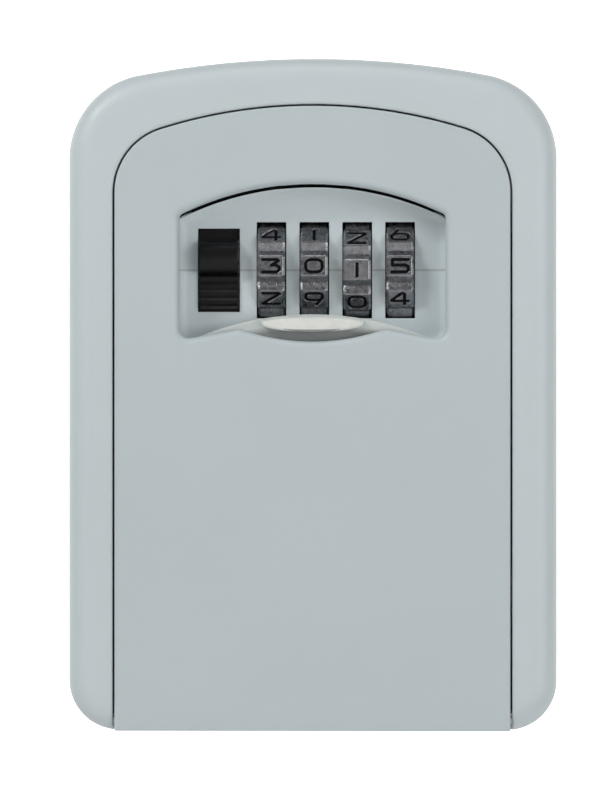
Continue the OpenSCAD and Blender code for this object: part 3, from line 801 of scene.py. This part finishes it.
# Each figure's strokes, as places from -1 to 1 across and up.
FIGURES: dict[int, list[list[tuple[float, float]]]] = {
    0: [oval(0, 1, 1)],
    1: [[(0, 1), (0, -1)]],
    2: [[(-1, 1), (0.85, 1), (1, 0.85), (-1, -0.9), (-1, -1), (1, -1)]],
    3: [[(-1, 1), (0.75, 1), (0.9, 0.8), (0.05, 0.12), (0.6, 0.12), (1, -0.2), (1, -0.65), (0.7, -1), (-1, -1)]],
    4: [[(0.55, -1), (0.55, 0.8), (0.35, 1), (0.1, 0.9), (-1, -0.3), (-1, -0.45), (1, -0.45)]],
    5: [[(1, 1), (-0.9, 1), (-0.9, 0.1), (0.7, 0.1), (1, -0.15), (1, -0.75), (0.7, -1), (-1, -1)]],
    6: [[(-0.3, 1.05), (-0.9, 0.0)], oval(-0.35, 1, 0.65)],
    7: [[(-1, 1), (1, 1), (-0.2, -1)]],
    8: [oval(0.5, 0.85, 0.5), oval(-0.5, 1, 0.5)],
    9: [[(0.9, 0.0), (0.3, -1.05)], oval(0.35, 1, 0.65)],
}


def smooth_step(t: np.ndarray) -> np.ndarray:
    """Eases 0..1 with flat ends."""
    t = np.clip(t, 0, 1)
    return t * t * (3 - 2 * t)


def stroke_distance(u: np.ndarray, v: np.ndarray, figure: int, half_w: float, half_h: float) -> np.ndarray:
    """How far each point is from a figure's strokes: the least distance to any of its straight stretches.

    Args:
        u: places across, in metres.
        v: places up, in metres.
        figure: 0 to 9.
        half_w: half the figure's width between stroke middles.
        half_h: half its height between stroke middles.

    Returns:
        The distances, shaped as u.
    """
    best = np.full(u.shape, 1.0)
    for stroke in FIGURES[figure]:
        places = np.array(stroke) * (half_w, half_h)
        for a, b in zip(places[:-1], places[1:]):
            along = b - a
            t = np.clip(((u - a[0]) * along[0] + (v - a[1]) * along[1]) / (along @ along), 0, 1)
            best = np.minimum(best, np.hypot(u - a[0] - t * along[0], v - a[1] - t * along[1]))
    return best


@dataclass
class Dial:
    """One number dial: ten flat lands with engraved figures, and grooves between them."""

    number: int
    shown: int
    turn: float
    across_steps: int = 76
    round_steps: int = 1080
    land_half: float = 10.7
    groove_drop: float = 1.0 * MM
    bevel: float = 0.38 * MM
    figure_half_w: float = 1.46 * MM
    figure_half_h: float = 1.12 * MM
    stroke_half: float = 0.27 * MM
    cut: float = 0.3 * MM
    bore_r: float = 6.6 * MM
    radius: float = 9.8 * MM

    def surface(self, x: np.ndarray, angle: np.ndarray, radius: float, half: float) -> tuple[np.ndarray, ...]:
        """Works out the dial's rim.

        The radius is a flat land's, r cos(a) / cos(angle from the land's middle), then falls evenly to the
        middle of a V-shaped groove, is lowered along both rims by a bevel, and again inside a figure's strokes.

        Args:
            x: places across, from the dial's middle, one per row.
            angle: degrees round from the front, upwards, one per column.
            radius: the dial's largest radius.
            half: half its width.

        Returns:
            The radius, the ink and the groove values, each rows by columns.
        """
        land = np.round(angle / 36)
        local = angle - land * 36
        turn = np.radians(local)
        flat = radius * math.cos(math.radians(self.land_half)) / np.cos(turn)
        down = np.clip((np.abs(local) - self.land_half) / (18 - self.land_half), 0, 1)
        corner = smooth_step((np.abs(local) - self.land_half + 1.2) / 1.2) * (1 - down)
        rim = np.where(np.abs(local) < self.land_half, flat, radius) - self.groove_drop * down - 0.1 * MM * corner
        edge = np.clip((np.abs(x) - half + self.bevel) / self.bevel, 0, 1)
        rim = rim[None, :] - 0.26 * MM * edge[:, None]
        u = x[:, None] + 0 * local[None, :]
        v = radius * turn[None, :] + 0 * u
        ink = np.zeros(u.shape)
        for k in range(10):
            mine = (land % 10 == k)
            figure = (self.shown + k) % 10
            gap = stroke_distance(u[:, mine], v[:, mine], figure, self.figure_half_w, self.figure_half_h)
            ink[:, mine] = smooth_step((self.stroke_half + 0.05 * MM - gap) / (0.1 * MM))
        return rim - self.cut * ink, ink, down[None, :] + 0 * u

    def build(self, metal: bpy.types.Material) -> None:
        """Skins the dial with its side faces and bore, and stores where ink and grooves are."""
        name = f"dial_{self.number}"
        low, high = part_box(name)
        joint = next(j for j in frame["joints"] if j["name"] == f"{name}_turn")
        axis_y, axis_z = joint["pos_m"][1:]
        middle, half = (low.x + high.x) / 2, (high.x - low.x) / 2
        x = np.linspace(-half, half, self.across_steps)
        angle = np.linspace(-180, 180, self.round_steps, endpoint=False)
        rim, ink, groove = self.surface(x, angle, self.radius, half)
        bore = np.full((1, self.round_steps), self.bore_r)
        rim = np.concatenate([bore, rim, bore])
        ends = np.zeros((1, self.round_steps))
        x = np.concatenate([[-half], x, [half]])
        a = np.radians(angle + self.turn)[None, :]
        grid = np.stack([middle + x[:, None] + 0 * rim, axis_y - rim * np.cos(a), axis_z + rim * np.sin(a)], -1)
        piece = raw_object(f"number_dial_{self.number}", grid, grid_quads(*grid.shape[:2], True, True)[:, ::-1])
        for label, values in (("ink", ink), ("groove", groove)):
            store = piece.data.attributes.new(label, "FLOAT", "POINT")
            store.data.foreach_set("value", np.concatenate([ends, values, ends]).ravel().astype(np.float32))
        piece.data.set_sharp_from_angle(angle=math.radians(50))
        dress(piece, name, Slot.DIAL, metal, name)


# ---------------------------------------------------------------- lever and shutter


@dataclass
class Lever:
    """The open lever: a thumb bump over grip ribs, on a plate that closes the slot."""

    at: Places
    rib_pitch: float = 1.42 * MM
    rib_height: float = 0.32 * MM
    base_depth: float = 6.35
    bump_height: float = 2.1 * MM
    bump_foot: float = -0.6 * MM
    bump_top: float = 5.0 * MM
    half: float = 3.52 * MM
    foot: float = -6.7 * MM
    top: float = 5.2 * MM
    root_depth: float = 8.6
    edge_r: float = 0.35 * MM
    plate_front: float = 8.2
    plate_back: float = 10.2

    def relief(self, z: np.ndarray) -> np.ndarray:
        """How far the front stands out at each height: a round bump, then rounded ribs below it.

        The bump is half an ellipse between its foot and its top; a rib is the raised half of a cosine.
        """
        foot, top = self.at.dial_z + self.bump_foot, self.at.dial_z + self.bump_top
        t = (2 * z - foot - top) / (top - foot)
        bump = self.bump_height * np.sqrt(np.clip(1 - t ** 2, 0, 1)) ** 0.8
        wave = 0.5 - 0.5 * np.cos(2 * math.pi * (foot - z) / self.rib_pitch)
        ribs = np.where(z < foot, self.rib_height * wave ** 0.7, 0)
        return bump + ribs

    def build(self, plastic: bpy.types.Material) -> None:
        """Skins the grip as level sections and adds the plate, which stand for the CAD lever."""
        low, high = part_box("open_lever")
        middle = (low.x + high.x) / 2
        half, back, soft = self.half, self.at.depth(self.root_depth), self.edge_r
        z = np.linspace(self.at.dial_z + self.foot, self.at.dial_z + self.top, 240)
        front = self.at.depth(self.base_depth) - self.relief(z)
        sine, fall = quarter(5)
        left = [(-half, 0.0)] + [(-half + soft * f, s) for s, f in zip(sine, fall)]
        across = np.array([p[0] for p in left] + [-p[0] for p in left[::-1]])
        share = np.array([p[1] for p in left] + [p[1] for p in left[::-1]])
        inner = front[:, None] + soft
        y = np.where(share[None, :] > 0, inner - soft * share[None, :], back)
        grid = np.stack([middle + across[None, :] + 0 * y, y, z[:, None] + 0 * y], -1)
        caps = [end.mean(1, keepdims=True) + 0 * end for end in (grid[:1], grid[-1:])]
        dress(
            skin("open_lever_grip", np.concatenate([caps[0], grid, caps[1]]), wrap_rows=False, smooth_angle=35),
            "latch", Slot.LEVER, plastic, "open_lever",
        )
        front_left = (low.x, self.at.depth(self.plate_front), low.z)
        back_right = (high.x, self.at.depth(self.plate_back), high.z)
        plate = slab("open_lever_plate", front_left, back_right, 0.3 * MM)
        dress(plate, "latch", Slot.LEVER, plastic)


@dataclass
class Shutter:
    """The shutter's half-moon finger lip; the plate behind it keeps its CAD shape."""

    at: Places
    lip_half: float = 9.0 * MM
    lip_round: float = 0.55 * MM
    lip_top: float = -8.18 * MM
    lip_foot: float = -10.8 * MM
    lip_middle: float = -9.4 * MM
    front_depth: float = 0.25
    root_depth: float = 2.5

    def lip_ring(self, inset: float) -> np.ndarray:
        """The lip's outline: a gentle arch over a sagging curve, drawn in by a distance."""
        t = np.linspace(-1, 1, 81)
        shape = np.sqrt(np.clip(1 - np.abs(t) ** 2.4, 0, 1))
        half = self.lip_half - inset
        mid = self.lip_middle
        upper = mid + (self.lip_top - inset - mid) * shape
        lower = mid + (self.lip_foot + inset - mid) * shape
        z = self.at.dial_z + np.concatenate([upper, lower[::-1][1:-1]])
        return np.stack([np.concatenate([t, t[::-1][1:-1]]) * half, z], -1)

    def build(self, plastic: bpy.types.Material) -> None:
        """Skins the lip with a rounded front edge."""
        sine, fall = quarter(6)
        front, back, soft = self.at.depth(self.front_depth), self.at.depth(self.root_depth), self.lip_round
        rows = [at_depth(self.lip_ring(soft * f), front + soft * (1 - s)) for s, f in zip(sine, fall)]
        start = rows[0].copy()
        start[:, 1] = back
        root, centre = (end.mean(0, keepdims=True) + 0 * end for end in (start, rows[-1]))
        lip = skin("shutter_lip", np.array([root, start, *rows, centre]), wrap_rows=False)
        dress(lip, "shutter", Slot.SHUTTER, plastic)


@dataclass(frozen=True)
class HubSpring:
    """The coil spring that the last hub pushes up when the code is changed."""

    wire: float = 0.3 * MM
    turns: float = 4.0
    sides: int = 12
    steps: int = 30

    def build(self, steel: bpy.types.Material) -> None:
        """Skins a helix.

        The wire's middle goes round the spring's axis at an even rate while it climbs from one end to the
        other; each section is a circle whose offset is split between outwards and along the axis.
        """
        low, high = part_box("hub_spring")
        reach = (high.z - low.z) / 2 - self.wire
        middle_y, middle_z = (low.y + high.y) / 2, (low.z + high.z) / 2
        share = np.linspace(0, 1, int(self.turns * self.steps) + 1)[:, None]
        a = 2 * math.pi * self.turns * share
        b = np.linspace(0, 2 * math.pi, self.sides, endpoint=False)[None, :]
        size = np.where((share > 0) & (share < 1), self.wire, 1e-6)
        out = reach + size * np.cos(b)
        x = low.x + self.wire + (high.x - low.x - 2 * self.wire) * share + size * np.sin(b)
        grid = np.stack([x, middle_y + out * np.sin(a), middle_z + out * np.cos(a)], -1)
        ends = [grid[k:k + 1].mean(1, keepdims=True) + 0 * grid[:1] for k in (0, -1)]
        grid = np.concatenate([ends[0], grid[1:-1], ends[1]])
        piece = skin("hub_spring_coil", grid, wrap_rows=False)
        dress(piece, "door", Slot.COVER, steel, "hub_spring")
        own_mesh(piece)


# ---------------------------------------------------------------- CAD pieces that stay


def smooth_cad(thing: bpy.types.Object, bevel: float) -> None:
    """Adds a weld and a small bevel with hardened normals to a CAD piece.

    Args:
        thing: the CAD node's object.
        bevel: the bevel's width in metres.
    """
    weld = thing.modifiers.new("weld", "WELD")
    weld.merge_threshold = 1e-7
    round_edges = thing.modifiers.new("round_edges", "BEVEL")
    round_edges.width = bevel
    round_edges.segments = 2
    round_edges.limit_method = "ANGLE"
    round_edges.angle_limit = math.radians(35)
    round_edges.harden_normals = True


def dress_cad(finishes: dict[str, bpy.types.Material]) -> None:
    """Gives every CAD node that stays the material of its slot.

    Args:
        finishes: a material for each slot of the record.
    """
    slots = {s["node"]: s["material_slot"] for s in frame["record"]["subparts"]}
    for name, thing in frame["nodes"].items():
        thing.data.materials.clear()
        thing.data.materials.append(finishes[slots[name]])
        log.info("%s keeps its CAD shape, finish %s", name, slots[name])


# ---------------------------------------------------------------- stage


@dataclass(frozen=True)
class Studio:
    """A pale seamless sweep, soft lights and the camera."""

    floor: float = -0.20
    front_edge: float = -9.0
    half_width: float = 9.0
    wall: float = 2.2
    wall_height: float = 2.4
    bend: float = 0.5
    distance: float = 0.95
    side_angle: float = 1.5
    view_height: float = 138.9 * MM
    aim: tuple[float, float, float] = (-0.9 * MM, -34 * MM, -1.0 * MM)

    def sweep(self) -> None:
        """Makes the floor and the backdrop as one sheet: a profile of floor, quarter round and wall."""
        a, bend = np.linspace(0, math.pi / 2, 25), self.bend
        y = np.concatenate([[self.front_edge], self.wall - bend + bend * np.sin(a), [self.wall]])
        z = np.concatenate([[0], bend - bend * np.cos(a), [self.wall_height]]) + self.floor
        x = np.array([-self.half_width, self.half_width])
        grid = np.stack(np.broadcast_arrays(x[:, None], y[None, :], z[None, :]), -1)
        sheet = raw_object("studio_sweep", grid, grid_quads(*grid.shape[:2], False, False))
        tree = ShaderTree("studio_white")
        tree.shader.inputs["Base Color"].default_value = (0.9, 0.9, 0.9, 1)
        tree.shader.inputs["Roughness"].default_value = 0.8
        tree.shader.inputs["Emission Color"].default_value = (1, 1, 1, 1)
        away = tree.math("ABSOLUTE", tree.math("ADD", tree.place()["Y"], 0.3), 0.0)
        tree.link(tree.remap(away, 0, 0.85, 0.6, 1.5), tree.shader.inputs["Emission Strength"])
        sheet.data.materials.append(tree.material)

    def lamp(self, name: str, place: tuple[float, float, float], size: float, watts: float) -> None:
        """Hangs a square soft light that faces the box."""
        light = bpy.data.lights.new(name, "AREA")
        light.size, light.energy = size, watts
        thing = bpy.data.objects.new(name, light)
        thing.location = place
        self.face(thing, (0, 0, 0))
        bpy.context.scene.collection.objects.link(thing)

    def face(self, thing: bpy.types.Object, target: tuple[float, float, float]) -> None:
        """Turns a light or camera to look at a point."""
        thing.rotation_euler = (Vector(target) - thing.location).to_track_quat("-Z", "Y").to_euler()

    def camera(self) -> None:
        """Places a long lens a little right of square, at the box's mid height."""
        lens = bpy.data.cameras.new("view")
        lens.sensor_fit, lens.sensor_height = "VERTICAL", 32
        lens.lens = lens.sensor_height * self.distance / self.view_height
        lens.clip_end = 20
        thing = bpy.data.objects.new("view", lens)
        turn = math.radians(self.side_angle)
        x, y, z = self.aim
        thing.location = (x + self.distance * math.sin(turn), y - self.distance * math.cos(turn), z)
        self.face(thing, self.aim)
        bpy.context.scene.collection.objects.link(thing)
        bpy.context.scene.camera = thing

    def build(self) -> None:
        """Builds the stage."""
        self.sweep()
        self.lamp("key", (-0.85, -0.7, 0.8), 0.36, 7.3)
        self.lamp("fill", (0.9, -0.9, 0.15), 0.7, 4.5)
        self.lamp("top", (0.0, -0.4, 1.1), 0.5, 2.6)
        world = bpy.data.worlds.new("studio_air")
        world.use_nodes = True
        world.node_tree.nodes["Background"].inputs["Color"].default_value = (1, 1, 1, 1)
        world.node_tree.nodes["Background"].inputs["Strength"].default_value = 0.22
        bpy.context.scene.world = world
        bpy.context.scene.view_settings.view_transform = "Standard"
        self.camera()


def finishes(at: Places) -> dict[str, bpy.types.Material]:
    """Makes every finish by name: one for each slot of the record, and two more for new pieces."""
    paint, shutter = (0.53, 0.59, 0.605), (0.56, 0.60, 0.585)
    every = (
        SatinPaint("body_paint", paint, soft_edges=0.9 * MM),
        SatinPaint("door_paint", (0.485, 0.545, 0.565)),
        # The panel is the body's own paint made 15% lighter, as painted light in the recess.
        SatinPaint(
            "panel_paint", shade(paint, 1.15), gloss=0.45, scribed_at=at.dial_z, scribed_front=at.depth(6.9)
        ),
        # The shutter's plate carries a painted shadow just under the lip.
        MouldedPlastic(
            "shutter_plastic", shutter, gloss=0.35, grain=0.02, lip_shadow_at=at.dial_z - 11.9 * MM
        ),
        MouldedPlastic("lip_plastic", (0.69, 0.70, 0.66), gloss=0.3, grain=0.02),
        MouldedPlastic("lever_plastic", (0.004, 0.004, 0.005), gloss=0.36, shine=0.25),
        MouldedPlastic("dark_cover", (0.02, 0.021, 0.023), gloss=0.5, grain=0.15, shine=0.3),
        # A near-black, almost unreflecting finish that paints the shade in the shutter's slot.
        MouldedPlastic("slot_shade_sheet", (0.002, 0.002, 0.002), gloss=0.9, shine=0.05),
        DialZinc("dial_zinc"),
        BareMetal("hub_brass", (0.10, 0.085, 0.055), 0.35, Lay.ACROSS),
        BareMetal("zinc_steel", (0.46, 0.47, 0.48), 0.36, Lay.UP),
        BareMetal("pin_steel", (0.52, 0.53, 0.54), 0.25, Lay.ACROSS),
        BareMetal("screw_steel", (0.42, 0.43, 0.45), 0.33),
        BareMetal("spring_steel", (0.45, 0.46, 0.48), 0.27, Lay.UP),
    )
    return {finish.name: finish.material() for finish in every}


def main() -> None:
    logging.basicConfig(level=logging.INFO, format="%(name)s: %(message)s")
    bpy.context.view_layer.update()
    at = Places()
    finish = finishes(at)
    Studio().build()
    dress_cad(finish)
    door = Door(at)
    door.build(finish["door_paint"])
    Recess(door).build(finish["panel_paint"], finish["slot_shade_sheet"])
    for number, (shown, turn) in enumerate(((3, 4.3), (0, 4.3), (1, 0.0), (5, 4.3)), start=1):
        Dial(number, shown, turn).build(finish["dial_zinc"])
    Lever(at).build(finish["lever_plastic"])
    Shutter(at).build(finish["lip_plastic"])
    HubSpring().build(finish["spring_steel"])
    for name in ("housing", "lock_case", "shutter", "rear_cover", "strike_plate", "reset_lever"):
        smooth_cad(frame["nodes"][name], 0.12 * MM)


if __name__ == "__main__":
    main()
